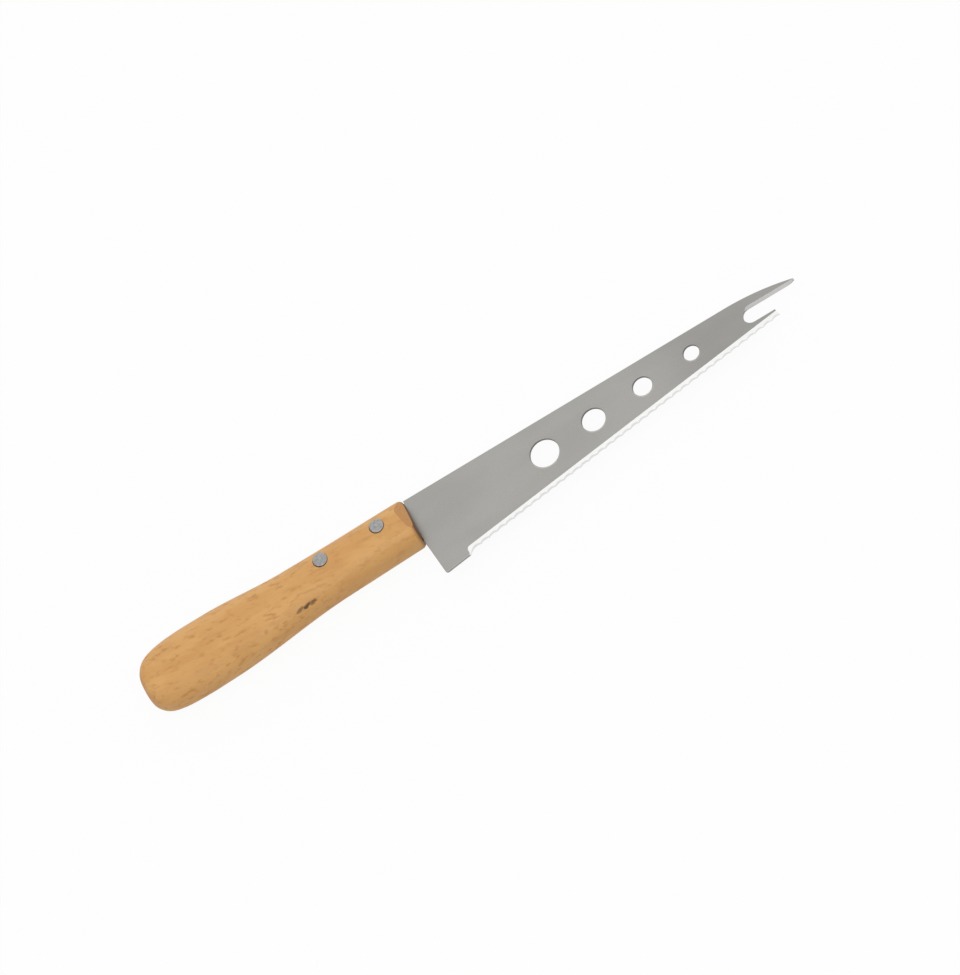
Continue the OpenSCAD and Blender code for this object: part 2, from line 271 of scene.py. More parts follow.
def lathe(name, profile, x, y, steps=TURN_STEPS):
    """A closed solid of revolution about the upright axis at x, y.

    Its profile is (radius, z) pairs that start and end on the axis, with the solid on their left.
    """
    inner = profile[1:-1]
    angles = [2 * math.pi * k / steps for k in range(steps)]
    verts = [(x + r * math.cos(a), y + r * math.sin(a), z) for r, z in inner for a in angles]
    start, end = len(verts), len(verts) + 1
    last = len(verts) - steps
    verts += [(x, y, profile[0][1]), (x, y, profile[-1][1])]
    faces = wall_faces(len(inner), steps)
    for k in range(steps):
        faces.append((start, (k + 1) % steps, k))
        faces.append((end, last + k, last + (k + 1) % steps))
    return new_object(name, verts, faces)


def drum(name, r, low, high, x, y, steps=TURN_STEPS):
    """An upright cylinder."""
    return lathe(name, [(0, low), (r, low), (r, high), (0, high)], x, y, steps)


def solid_box(name, low, high, turn=Matrix.Identity(4)):
    """A box between two corners, turned by a matrix about the knife's origin."""
    corners = [Vector((x, y, z)) for z in (low[2], high[2]) for y in (low[1], high[1])
               for x in (low[0], high[0])]
    faces = [(0, 2, 3, 1), (4, 5, 7, 6), (0, 1, 5, 4), (2, 6, 7, 3), (0, 4, 6, 2), (1, 3, 7, 5)]
    return new_object(name, [tuple(turn @ p) for p in corners], faces)


def move(obj, turn):
    """Moves an object's points by a matrix given in the knife's coordinates."""
    there = Matrix.Translation(ORIGIN) @ Matrix.Scale(MM, 4)
    obj.data.transform(there @ turn @ there.inverted())


def apply_modifiers(obj):
    """Turns what an object's modifiers make into its mesh."""
    graph = bpy.context.evaluated_depsgraph_get()
    mesh = bpy.data.meshes.new_from_object(obj.evaluated_get(graph))
    old = obj.data
    obj.modifiers.clear()
    obj.data = mesh
    bpy.data.meshes.remove(old)
    mesh.name = obj.name


def cut(obj, cutters):
    """Takes each cutter away from an object, and then removes the cutter."""
    for cutter in cutters:
        mod = obj.modifiers.new("cut", "BOOLEAN")
        mod.operation = "DIFFERENCE"
        mod.solver = "MANIFOLD"
        mod.object = cutter
        apply_modifiers(obj)
        mesh = cutter.data
        bpy.data.objects.remove(cutter)
        bpy.data.meshes.remove(mesh)


def drop_slivers(obj, reach, triangles=False):
    """Closes up the hair-thin faces that cuts leave, so that no face is without area."""
    shape = bmesh.new()
    shape.from_mesh(obj.data)
    bmesh.ops.dissolve_degenerate(shape, dist=reach * MM, edges=shape.edges[:])
    if triangles:
        bmesh.ops.triangulate(shape, faces=shape.faces[:], quad_method="BEAUTY",
                              ngon_method="BEAUTY")
    shape.to_mesh(obj.data)
    shape.free()


def smooth(obj, angle):
    """Shades an object smoothly between its sharp edges, with even normals on its wide faces."""
    obj.data.shade_smooth()
    obj.data.set_sharp_from_angle(angle=math.radians(angle))
    mod = obj.modifiers.new("normals", "WEIGHTED_NORMAL")
    mod.keep_sharp = True
    mod.weight = 100
    mod.mode = "FACE_AREA"
    apply_modifiers(obj)


# Handle
def ease(t):
    """A smooth step from 0 at t = 0 to 1 at t = 1."""
    t = min(1.0, max(0.0, t))
    return t * t * (3 - 2 * t)


def cap(d, start):
    """The share of its height that the handle keeps where its outline closes from start on."""
    if d <= start:
        return 1.0
    t = min(1.0, (d - start) / (HANDLE_LEN - start))
    return max(0.0, 1 - t ** BUTT_POWER) ** (1 / BUTT_POWER)


def top_y(d):
    """The upper outline, d behind the front end."""
    s = d / HANDLE_LEN
    plain = (-WAIST_DIP * ease(s / WAIST_SHARE)
             + CROWN_RISE * ease((s - CROWN_FROM) / (CROWN_SHARE - CROWN_FROM)) - HANDLE_DROP)
    return (plain + BUTT_DEPTH) * cap(d, CROWN_AT) - BUTT_DEPTH


def low_y(d):
    """The lower outline, d behind the front end."""
    s = d / HANDLE_LEN
    plain = (-BELLY_DROP * ease((s - BELLY_FROM) / (CROWN_SHARE - BELLY_FROM))
             - LOW_SLOPE * min(1.0, d / BELLY_AT) - HANDLE_DROP - FRONT_H)
    return (plain + BUTT_DEPTH) * cap(d, BELLY_AT) - BUTT_DEPTH


def handle_section(d):
    """The handle across its length, d behind the front end: a rectangle with round corners."""
    inset = 0.0 if d >= FRONT_R else FRONT_R - math.sqrt(FRONT_R ** 2 - (FRONT_R - d) ** 2)
    mid = (top_y(d) + low_y(d)) / 2
    half_h = (top_y(d) - low_y(d)) / 2 - inset
    half_t = HALF_HANDLE * cap(d, SIDE_AT) - inset
    r = min(EDGE_R - inset, CORNER_SHARE * half_h, CORNER_SHARE * half_t)

    def corner(quarter, share):
        """A point on one of the four corners, from its start at share 0 to its end at 1."""
        side_y = 1 if quarter % 4 in (0, 3) else -1
        side_z = 1 if quarter % 4 < 2 else -1
        a = math.radians(90 * (quarter + share))
        return (mid + side_y * (half_h - r) + r * math.cos(a),
                side_z * (half_t - r) + r * math.sin(a))

    ring = []
    for quarter in range(4):
        ring += [corner(quarter, k / CORNER_STEPS) for k in range(CORNER_STEPS + 1)]
        y, z = ring[-1]
        next_y, next_z = corner(quarter + 1, 0)
        for k in range(1, FLAT_STEPS):
            share = k / FLAT_STEPS
            ring.append((y + (next_y - y) * share, z + (next_z - z) * share))
    return [(-d, y, z) for y, z in ring]


def section_places():
    """The sections' distances from the front end, closer together at both rounded ends."""
    turns = [math.cos(math.radians(90 * i / FRONT_STEPS)) for i in range(FRONT_STEPS)]
    front = [FRONT_R * (1 - c) for c in turns]
    body = list(np.linspace(FRONT_R, SIDE_AT, BODY_STEPS, endpoint=False))
    turns = [math.cos(math.radians(90 * i / BUTT_STEPS)) for i in range(BUTT_STEPS)]
    butt = [SIDE_AT + BUTT_ROUND * (1 - c ** BUTT_POWER) ** (1 / BUTT_POWER) for c in turns]
    return front + body + butt


def handle_form():
    """A loft through the sections, closed flat in front and by a pole at the butt."""
    rings = [handle_section(d) for d in section_places()]
    size = len(rings[0])
    verts = [point for ring in rings for point in ring]
    last, pole = len(verts) - size, len(verts)
    verts.append((-HANDLE_LEN, -BUTT_DEPTH, 0))
    faces = wall_faces(len(rings), size, turned=True)
    faces += [(last + k, pole, last + (k + 1) % size) for k in range(size)]
    faces.append(tuple(range(size)))
    return new_object("beech_handle", verts, faces)


def front_bevel(side):
    """What the slanting cut takes off the front end, on the upper side (1) or the lower (-1)."""
    yaw = math.atan((BEVEL_TOP - BEVEL_LOW) / FRONT_H)
    tilt = math.atan(BEVEL_DROP / (BEVEL_TOP * math.cos(yaw)))
    turn = (Matrix.Scale(side, 4, (0, 0, 1))
            @ Matrix.Translation((-BEVEL_TOP, -HANDLE_DROP, HALF_HANDLE))
            @ Matrix.Rotation(yaw, 4, "Z") @ Matrix.Rotation(tilt, 4, "Y"))
    cutter = solid_box("bevel", (0, -BEVEL_DOWN, 0), (BEVEL_OUT, BEVEL_OUT, BEVEL_OUT), turn)
    # The lower side's box is mirrored, which turns its faces inside out
    if side < 0:
        cutter.data.flip_normals()
    return cutter


def kerf():
    """The saw kerf for the tang, open along the upper edge and at the front end."""
    half = HALF_T + KERF_CLEAR
    return solid_box("kerf", (-TANG_LEN - KERF_END, -TANG_DROP - TANG_H - KERF_END, -half),
                     (KERF_PAST_END, KERF_PAST_TOP, half))


def rivet_holes(x):
    """A rivet's bore and the seats of its two heads."""
    y = -RIVET_DEPTH
    bore, seat = SLEEVE_D / 2 + BORE_CLEAR, HEAD_D / 2 + SEAT_CLEAR
    past, floor_z = HALF_HANDLE + WOOD_PAST, HALF_HANDLE - HEAD_SEAT
    # The upper seat sits a little off the head, so that its gap is widest on one side
    return [drum("bore", bore, -past, past, x, y),
            drum("seat", seat, -past, -floor_z, x, y),
            drum("seat", seat, floor_z, past, x - SEAT_SHIFT, y - SEAT_SHIFT)]


def make_handle():
    obj = handle_form()
    cut(obj, [front_bevel(1), front_bevel(-1), kerf()])
    for x in RIVET_AT:
        cut(obj, rivet_holes(x))
    drop_slivers(obj, WOOD_SLIVER)
    mod = obj.modifiers.new("soften", "BEVEL")
    mod.width = WOOD_BREAK * MM
    mod.segments = 2
    mod.limit_method = "ANGLE"
    mod.angle_limit = math.radians(WOOD_SOFT_A)
    mod.miter_outer = "MITER_ARC"
    apply_modifiers(obj)
    drop_slivers(obj, WOOD_SLIVER)
    smooth(obj, WOOD_SHARP_A)
    return obj


# Blade
def edge_depth(x):
    """Depth of the edge line below the spine."""
    return HEEL_DEPTH - (x - HEEL_LEAN) * EDGE_SLOPE


def grind_w(x):
    """Width of the ground face, measured along y."""
    return GRIND_HEEL_W + (GRIND_TIP_W - GRIND_HEEL_W) * (x - GRIND_FROM) / GRIND_RUN


def hole_depth(x):
    """Depth of a hole's centre below the spine."""
    return HOLE_MID * (edge_depth(x) - grind_w(x))


def hole_d(i):
    """Each hole is smaller than the last by the same ratio."""
    return HOLE_BIG * (HOLE_SMALL / HOLE_BIG) ** (i / (HOLE_COUNT - 1))


# Each hole's place along the blade and its radius
HOLES = [(HOLE_FIRST + i * HOLE_PITCH, hole_d(i) / 2) for i in range(HOLE_COUNT)]


def arc(cx, cy, r, from_a, to_a, steps):
    """Points on an arc between two angles in degrees."""
    angles = [math.radians(from_a + (to_a - from_a) * i / steps) for i in range(steps + 1)]
    return [(cx + r * math.cos(a), cy + r * math.sin(a)) for a in angles]


def tang_points():
    """The tang's outline, from its upper edge round its two rear corners to its lower edge."""
    mid_x, low = -TANG_LEN + TANG_R, -TANG_DROP - TANG_H
    pts = [(0.0, -TANG_DROP)]
    pts += arc(mid_x, -TANG_DROP - TANG_R, TANG_R, 90, 180, steps=10)
    pts += arc(mid_x, low + TANG_R, TANG_R, 180, 270, steps=10)
    return pts + [(0.0, low)]


def heel_points():
    """The heel, from the handle's lower edge round the corner on to the edge line."""
    rise = HEEL_DEPTH - HANDLE_DROP - FRONT_H
    end_a = 90 + math.degrees(math.atan(HEEL_LEAN / rise))
    edge_a = math.degrees(EDGE_A)
    half = math.radians((end_a - edge_a) / 2)
    mid = math.radians((end_a + edge_a) / 2)
    reach = HEEL_R / math.sin(half)
    cx, cy = HEEL_LEAN + reach * math.cos(mid), -HEEL_DEPTH + reach * math.sin(mid)
    return [(0.0, -HANDLE_DROP - FRONT_H)] + arc(cx, cy, HEEL_R, end_a + 90, edge_a + 270, steps=8)


def fork_points():
    """The short prong's end, the gap's round root and the long prong's curved inner edge."""
    pts = [(SHORT_X, -TIP_DEPTH), (SHORT_X - PRONG_SLANT, -GAP_DEPTH - GAP_R)]
    pts += arc(GAP_X, -GAP_DEPTH, GAP_R, 270, 90, steps=40)
    rise = GAP_DEPTH - GAP_R - NOSE_DROP - TIP_BLUNT
    r = (TIP_LEN ** 2 + rise ** 2) / (2 * rise)
    end_a = math.degrees(math.asin(TIP_LEN / r))
    return pts + arc(BLADE_LEN - TIP_LEN, r - GAP_DEPTH + GAP_R, r, -90, end_a - 90, steps=12)


def nose_points():
    """The spine's fall to the long prong's tip, from the tip back."""
    r = (NOSE_LEN ** 2 + NOSE_DROP ** 2) / (2 * NOSE_DROP)
    span = math.degrees(math.asin(NOSE_LEN / r))
    return arc(BLADE_LEN - NOSE_LEN, -r, r, 90 - span, 90, steps=48)


def inset_points(pts, amount):
    """The outline drawn in by an amount, corner by corner."""
    p = np.array(pts)
    if amount == 0:
        return [tuple(q) for q in p]
    before, after = p - np.roll(p, 1, 0), np.roll(p, -1, 0) - p
    before /= np.linalg.norm(before, axis=1)[:, None]
    after /= np.linalg.norm(after, axis=1)[:, None]
    left_before = np.stack([-before[:, 1], before[:, 0]], 1)
    left_after = np.stack([-after[:, 1], after[:, 0]], 1)
    mean = left_before + left_after
    mean /= np.linalg.norm(mean, axis=1)[:, None]
    reach = amount / np.maximum(MITRE, (mean * left_before).sum(1))
    return [tuple(q) for q in p + mean * reach[:, None]]


def blade_sheet():
    """The sheet with broken edges, before any hole or grinding."""
    pts = [(0.0, 0.0)] + tang_points() + heel_points() + fork_points() + nose_points()
    mid = SHEET_BREAK_MID * SHEET_BREAK
    steps = [(0.0, SHEET_BREAK), (mid, mid), (SHEET_BREAK, 0.0)]
    levels = [(-HALF_T + up, inset) for up, inset in steps]
    levels += [(HALF_T - down, inset) for down, inset in reversed(steps)]
    rings = [[(x, y, z) for x, y in inset_points(pts, inset)] for z, inset in levels]
    return stack("steel_blade", rings)


def split_faces(obj, places):
    """Splits the wide faces across at each place, so that the later cuts stay local."""
    shape = bmesh.new()
    shape.from_mesh(obj.data)
    bmesh.ops.triangulate(shape, faces=shape.faces[:])
    for x in places:
        bmesh.ops.bisect_plane(shape, geom=shape.verts[:] + shape.edges[:] + shape.faces[:],
                               dist=SNAP * MM, plane_co=at(x, 0, 0), plane_no=(1, 0, 0))
    shape.to_mesh(obj.data)
    shape.free()


def split_places():
    """Where the sheet is split: at the rivets and holes, midway between holes and beside them."""
    holes = [x for x, r in HOLES]
    return sorted(RIVET_AT + SPLIT_AT) + holes + [x + HOLE_PITCH / 2 for x in holes]


def hole_cutter(x, r):
    """The cutter of one hole, with the drawn rim that punching leaves on the upper side."""
    low, high = -HALF_T - SHEET_PAST, HALF_T + SHEET_PAST
    profile = [(0, low), (r + HOLE_BREAK, low), (r + HOLE_BREAK, -HALF_T),
               (r, -HALF_T + HOLE_BREAK)]
    profile += [(r + out, HALF_T - deep) for out, deep in ROLL]
    profile += [(r + ROLL[-1][0], high), (0, high)]
    return lathe("hole", profile, x, -hole_depth(x), HOLE_STEPS)


def tang_bore(x):
    """The cutter of one rivet's bore in the tang."""
    return drum("bore", SLEEVE_D / 2 + BORE_CLEAR, -TANG_BORE_HALF, TANG_BORE_HALF,
                x, -RIVET_DEPTH, TANG_BORE_STEPS)


def fork_cutter():
    """The leaning cut of the long prong's inner edge, with a round root."""
    lean = math.atan(GAP_FLARE / (BLADE_T - GAP_LAND))
    narrow, end = GAP_R * math.cos(lean), GAP_LEN + FORK_PAST
    ring = arc(0, 0, narrow, 90, 270, steps=40) + [(end, -narrow), (end, narrow)]
    cutter = prism("lean", ring, FORK_LOW, FORK_HIGH)
    move(cutter, Matrix.Translation((GAP_X + GAP_FLARE / 2, -GAP_DEPTH, GAP_LAND - HALF_T))
         @ Matrix.Rotation(-lean, 4, "X"))
    return cutter


def grind_corner():
    """What rounds the wedge's inner corner, where the grinding starts."""
    line_a = math.degrees(math.atan(EDGE_SLOPE + (GRIND_TIP_W - GRIND_HEEL_W) / GRIND_RUN))
    half_a = math.radians((line_a + 90) / 2)
    inward = Vector((math.sin(half_a), -math.cos(half_a), 0))
    corner = Vector((GRIND_FROM, GRIND_HEEL_W - edge_depth(GRIND_FROM), 0))
    centre = corner + inward * (GRIND_R / math.sin(half_a))
    top = (corner - inward * CORNER_OUT).y
    back, low = GRIND_FROM - CORNER_PAST, -HEEL_DEPTH - CORNER_PAST
    ring = [(back, top), (back, low), (GRIND_FROM, low)]
    ring += arc(centre.x, centre.y, GRIND_R, 180, line_a + 90, steps=14)
    return prism("corner", ring, -CORNER_PAST, CORNER_PAST)


def grind_wedge():
    """The wedge that the grinding takes off the edge, in strips, narrower towards the tip."""
    past, over = -GRIND_OVER, 1 + GRIND_OVER
    verts = []
    for i in range(WAVE_COUNT + 2):
        x = GRIND_FROM + GRIND_RUN * i / WAVE_COUNT if i else GRIND_FROM - WEDGE_PAST
        for share, high in ((past, past), (over, over), (past, over)):
            verts.append((x, share * grind_w(x) - edge_depth(x),
                          EDGE_LAND - HALF_T + high * (BLADE_T - EDGE_LAND)))
    last = 3 * (WAVE_COUNT + 1)
    faces = [(0, 1, 2), (last + 2, last + 1, last)]
    for n in range(0, last, 3):
        faces += [(n, n + 3, n + 4, n + 1), (n + 1, n + 4, n + 5, n + 2), (n + 2, n + 5, n + 3, n)]
    wedge = new_object("wedge", verts, faces)
    # The faces above are wound inwards
    wedge.data.flip_normals()
    cut(wedge, [grind_corner()])
    return wedge


def flute(i):
    """The round flute of one wave, which leans more than the ground face and cuts into the edge."""
    chord, sag = WAVE_RUN / WAVE_COUNT / 2, WAVE_DEPTH * math.sin(math.radians(WAVE_LEAN))
    wheel = (chord ** 2 + sag ** 2) / (2 * sag)
    share = (i + 0.5) / WAVE_COUNT
    x = WAVE_FROM + WAVE_RUN * share
    back = WAVE_HEEL_BACK + (WAVE_TIP_BACK - WAVE_HEEL_BACK) * share
    ring = arc(0, 0, wheel, 180, 360, steps=84) + [(wheel, FLUTE_OUT), (-wheel, FLUTE_OUT)]
    cutter = prism("flute", ring, FLUTE_LOW, FLUTE_HIGH)
    # The prism stands upright, so y and z are swapped before it is laid along the flute's lean
    swap = Matrix(((1, 0, 0, 0), (0, 0, 1, 0), (0, 1, 0, 0), (0, 0, 0, 1)))
    move(cutter, Matrix.Translation((x, -edge_depth(x), -HALF_T)) @ Matrix.Rotation(EDGE_A, 4, "Z")
         @ Matrix.Translation((0, back + WAVE_DEPTH, 0))
         @ Matrix.Rotation(math.radians(WAVE_LEAN), 4, "X") @ Matrix.Translation((0, 0, wheel))
         @ swap)
    # The swap turns the faces inside out
    cutter.data.flip_normals()
    return cutter


def make_blade():
    obj = blade_sheet()
    split_faces(obj, split_places())
    cut(obj, [hole_cutter(x, r) for x, r in HOLES])
    cut(obj, [tang_bore(x) for x in RIVET_AT])
    cut(obj, [fork_cutter(), grind_wedge()])
    cut(obj, [flute(i) for i in range(WAVE_COUNT)])
    for reach in STEEL_SLIVERS:
        drop_slivers(obj, reach, triangles=True)
    smooth(obj, STEEL_SHARP_A)
    return obj


# Rivets
def make_sleeve(word, x):
    """A rivet's upper half: the domed head, and a tube that runs down through the tang."""
    seat, top = HALF_HANDLE - HEAD_SEAT, HALF_HANDLE + HEAD_PROUD
    foot = -seat + SHANK_CLEAR
    r, shank, bore = HEAD_D / 2, SLEEVE_D / 2, POST_D / 2 + POST_CLEAR
    # The profile starts at the blind end of the bore and runs down its wall
    profile = [(0, seat), (bore, seat), (bore, foot), (shank - SHANK_BREAK, foot),
               (shank, foot + SHANK_BREAK), (shank, seat), (r - HEAD_BREAK, seat),
               (r, seat + HEAD_BREAK)]
    profile += [(r - inward, top - down) for inward, down in DOME]
    obj = lathe("rivet_head_" + word, profile + [(0, top)], x, -RIVET_DEPTH)
    smooth(obj, RIVET_SHARP_A)
    return obj


def make_post(word, x):
    """A rivet's lower half: the head, flush with the wood, and a pin up into the sleeve."""
    flat, seat = -HALF_HANDLE, HALF_HANDLE - HEAD_SEAT
    end = seat - SHANK_CLEAR
    r, pin = HEAD_D / 2, POST_D / 2
    profile = [(0, flat)] + [(r - inward, flat + up) for inward, up in FOOT_EDGE]
    profile += [(r, -seat - HEAD_BREAK), (r - HEAD_BREAK, -seat), (pin, -seat),
                (pin, end - PIN_BREAK), (pin - PIN_BREAK, end), (0, end)]
    obj = lathe("rivet_foot_" + word, profile, x, -RIVET_DEPTH)
    smooth(obj, RIVET_SHARP_A)
    return obj


# Materials
class Nodes:
    """A material's node tree with short ways to add and join nodes."""

    def __init__(self, name):
        self.material = bpy.data.materials.new(name)
        self.material.use_nodes = True
        self.tree = self.material.node_tree
        self.shader = self.tree.nodes["Principled BSDF"]
        coords = self.tree.nodes.new("ShaderNodeTexCoord")
        # A place in the frame, in millimetres
        self.place = self.math3("MULTIPLY", coords.outputs["Object"], (1 / MM, 1 / MM, 1 / MM))

    def put(self, socket, value):
        """Gives an input a number, or joins it to another node's output."""
        if isinstance(value, bpy.types.NodeSocket):
            self.tree.links.new(value, socket)
        else:
            socket.default_value = value

    def math(self, operation, a, b):
        """What an operation makes of two numbers."""
        node = self.tree.nodes.new("ShaderNodeMath")
        node.operation = operation
        self.put(node.inputs[0], a)
        self.put(node.inputs[1], b)
        return node.outputs[0]

    def math3(self, operation, a, b=(0, 0, 0)):
        """The same for vectors. A length and a dot product come out as numbers."""
        node = self.tree.nodes.new("ShaderNodeVectorMath")
        node.operation = operation
        self.put(node.inputs[0], a)
        self.put(node.inputs[1], b)
        return node.outputs["Value" if operation in ("LENGTH", "DOT_PRODUCT") else "Vector"]

    def mapping(self, source, **settings):
        node = self.tree.nodes.new("ShaderNodeMapping")
        self.put(node.inputs["Vector"], source or self.place)
        for key, value in settings.items():
            node.inputs[key].default_value = value
        return node.outputs[0]

    def turned(self, turn, source=None):
        return self.mapping(source, Rotation=turn)

    def stretched(self, scale, shift=(0, 0, 0), source=None):
        return self.mapping(source, Location=shift, Scale=scale)

    def noise(self, vector, detail=2.0, rough=0.5):
        node = self.tree.nodes.new("ShaderNodeTexNoise")
        self.put(node.inputs["Vector"], vector)
        node.inputs["Scale"].default_value = 1.0
        node.inputs["Detail"].default_value = detail
        node.inputs["Roughness"].default_value = rough
        return node.outputs["Fac"]

    def ramp(self, value, low, high, to_low=0.0, to_high=1.0, ease_in=True):
        """A value between low and high as one between to_low and to_high."""
        node = self.tree.nodes.new("ShaderNodeMapRange")
        node.interpolation_type = "SMOOTHSTEP" if ease_in else "LINEAR"
        self.put(node.inputs["Value"], value)
        node.inputs["From Min"].default_value = low
        node.inputs["From Max"].default_value = high
        node.inputs["To Min"].default_value = to_low
        node.inputs["To Max"].default_value = to_high
        return node.outputs[0]

    def along(self, low, high, to_low=0.0, to_high=1.0):
        """The same for x between two places along the knife."""
        x = self.math3("DOT_PRODUCT", self.place, (1, 0, 0))
        return self.ramp(x, ORIGIN.x / MM + low, ORIGIN.x / MM + high, to_low, to_high)

    def mix(self, share, a, b, blend="MIX"):
        """Colour a, with a share of colour b."""
        node = self.tree.nodes.new("ShaderNodeMix")
        node.data_type = "RGBA"
        node.blend_type = blend
        self.put(node.inputs["Factor"], share)
        for key, colour in (("A", a), ("B", b)):
            socket = [s for s in node.inputs if s.name == key and s.type == "RGBA"][0]
            joined = isinstance(colour, bpy.types.NodeSocket)
            self.put(socket, colour if joined else (*colour, 1))
        return [s for s in node.outputs if s.type == "RGBA"][0]

    def bump(self, height, distance_mm, strength):
        node = self.tree.nodes.new("ShaderNodeBump")
        node.inputs["Strength"].default_value = strength
        node.inputs["Distance"].default_value = distance_mm * MM
        self.put(node.inputs["Height"], height)
        return node.outputs[0]

    def set(self, **sockets):
        """Fills in the shader's inputs, named with _ for a space, and gives the material."""
        for key, value in sockets.items():
            self.put(self.shader.inputs[key.replace("_", " ")], value)
        return self.material


def srgb(r, g, b):
    """A colour given in screen levels of 255 as linear light."""
    return tuple(c / 12.92 if c <= 0.04045 else ((c + 0.055) / 1.055) ** 2.4
                 for c in (r / 255, g / 255, b / 255))


# The dark streak's strokes: x, y, half length, half width and how dark each is
STREAK = ((-48.6, -19.2, 2.3, 0.62, 0.68), (-45.9, -19.05, 2.2, 0.6, 0.95),
          (-43.0, -18.8, 2.3, 0.56, 0.75))
STREAK_Z = 5.1
STREAK_HALF_HIGH = 4.0
STREAK_A = -12


def wood_material():
    """Lightly oiled beech."""
    n = Nodes("beech")
    # The fibres run along the handle, a few degrees askew and slightly wavy
    sway = n.noise(n.stretched((0.022, 0.03, 0.03)), 1.0)
    drift = n.math("MULTIPLY", n.math("SUBTRACT", sway, 0.5), 5.0)
    shift = n.tree.nodes.new("ShaderNodeCombineXYZ")
    n.put(shift.inputs["Y"], drift)
    n.put(shift.inputs["Z"], n.math("MULTIPLY", drift, 0.6))
    swayed = n.math3("ADD", n.place, shift.outputs[0])
    grain = n.turned((0.0, math.radians(2), math.radians(5)), swayed)
    rays = n.turned((0.0, math.radians(2), math.radians(13)), swayed)

    bands = n.noise(n.stretched((0.03, 0.16, 0.14), (3, 1, 0), grain), 3.0, 0.55)
    patches = n.noise(n.stretched((0.09, 0.2, 0.2), (9, 4, 2), rays), 2.0, 0.5)
    fibres = n.noise(n.stretched((0.16, 3.0, 3.0), (0, 0, 0), grain), 3.0, 0.6)
    flecks = n.noise(n.stretched((0.24, 0.66, 0.58), (5, 2, 8), rays), 3.0, 0.6)
    dashes = n.noise(n.stretched((0.6, 3.0, 2.4), (1, 7, 3), rays), 1.0, 0.5)

    light, mid, dark = srgb(226, 173, 105), srgb(217, 161, 93), srgb(202, 145, 80)
    colour = n.mix(n.ramp(bands, 0.34, 0.62, 0.2, 1.0), mid, light)
    colour = n.mix(n.ramp(patches, 0.48, 0.72, 0.0, 0.35), colour, dark)
    colour = n.mix(n.ramp(fibres, 0.4, 0.72, 0.0, 0.14), colour, dark)
    # The flecks are stronger in the handle's rear half
    rear = n.along(-55, -25, 1.0, 0.6)
    flecked = n.math("MULTIPLY", n.ramp(flecks, 0.5, 0.72, 0.0, 0.8), rear)
    colour = n.mix(flecked, colour, srgb(194, 136, 71))
    colour = n.mix(n.ramp(dashes, 0.67, 0.77, 0.0, 0.3), colour, srgb(182, 124, 62))

    # A dark streak in the wood on the lower rounding: ragged strokes that run into one
    for x, y, length, width, share in STREAK:
        spot = n.math3("SUBTRACT", n.place, tuple(at(x, y, STREAK_Z) / MM))
        spot = n.turned((0, 0, math.radians(STREAK_A)), spot)
        spot = n.stretched((1 / length, 1 / width, 1 / STREAK_HALF_HIGH), source=spot)
        rough = n.ramp(fibres, 0.3, 0.7, -0.35, 0.35, ease_in=False)
        ragged = n.math("ADD", n.math3("LENGTH", spot), rough)
        colour = n.mix(n.ramp(ragged, 0.45, 1.0, share, 0.0), colour, srgb(86, 57, 26))

    # End grain drinks the finish and is darker. The slanting cut is darker partly as end grain and
    # partly as painted shade, and the front end at the blade is painted shade far past end grain's
    # own tone
    facing = n.tree.nodes.new("ShaderNodeNewGeometry")
    forward = n.math3("DOT_PRODUCT", facing.outputs["True Normal"], (1, 0, 0))
    pores = n.noise(n.stretched((0.9, 5.5, 5.5)), 2.0)
    end_tone = n.mix(n.ramp(pores, 0.35, 0.65), srgb(183, 127, 71), srgb(203, 149, 92))
    colour = n.mix(n.ramp(forward, -0.6, -1.0, 0.0, 0.5), colour, end_tone)
    # the slanting cut: end grain's colour, partly as painted shade
    colour = n.mix(n.ramp(forward, 0.28, 0.42, 0.0, 0.85), colour, end_tone)
    # painted shade: the front end's rounding at the blade goes near-black brown, as the shadow
    # where handle meets blade
    colour = n.mix(n.ramp(forward, 0.5, 0.9, 0.0, 0.95), colour, srgb(104, 70, 44))

    height = n.math("ADD", n.math("MULTIPLY", fibres, -0.6), n.ramp(dashes, 0.62, 0.76, 0.0, -0.4))
    return n.set(Base_Color=colour, Roughness=n.ramp(fibres, 0.3, 0.7, 0.47, 0.58),
                 Normal=n.bump(height, 0.03, 0.6), Specular_IOR_Level=0.5)


def steel_material():
    """The blade's flat faces: satin lines along it."""
    n = Nodes("satin_steel")
    lines = n.noise(n.stretched((0.03, 9.0, 9.0)), 4.0, 0.65)
    cloud = n.noise(n.stretched((0.03, 0.07, 0.07), (2, 5, 0)), 2.0)
    grit = n.noise(n.stretched((2.2, 6.0, 6.0)), 2.0)
    colour = n.mix(n.ramp(cloud, 0.3, 0.7), srgb(159, 157, 153), srgb(166, 164, 160))
    colour = n.mix(n.ramp(lines, 0.35, 0.65, 0.0, 0.35), colour, srgb(153, 151, 147))
    # The steel is a shade darker towards the tip
    colour = n.mix(n.along(85, 122), colour, (0.87, 0.87, 0.87), "MULTIPLY")
    rough = n.math("ADD", n.ramp(lines, 0.3, 0.7, 0.27, 0.36),
                   n.ramp(grit, 0.3, 0.7, -0.015, 0.015))
    return n.set(Base_Color=colour, Metallic=1.0, Roughness=rough,
                 Normal=n.bump(lines, 0.004, 0.5))


def ground_material(name, dark, light):
    """Faces from a grinding wheel, whose marks run across the edge, in colours given lighter than
    the satin steel's as a painted highlight.
    """
    n = Nodes(name)
    marks = n.noise(n.stretched((7.0, 0.25, 0.25)), 3.0, 0.6)
    patches = n.noise(n.stretched((0.45, 0.9, 0.9)), 2.0)
    colour = n.mix(n.ramp(marks, 0.3, 0.7), dark, light)
    colour = n.mix(n.ramp(patches, 0.35, 0.65, 0.0, 0.5), colour, dark)
    return n.set(Base_Color=colour, Metallic=1.0, Roughness=n.ramp(marks, 0.3, 0.7, 0.24, 0.34),
                 Normal=n.bump(marks, 0.004, 0.5))


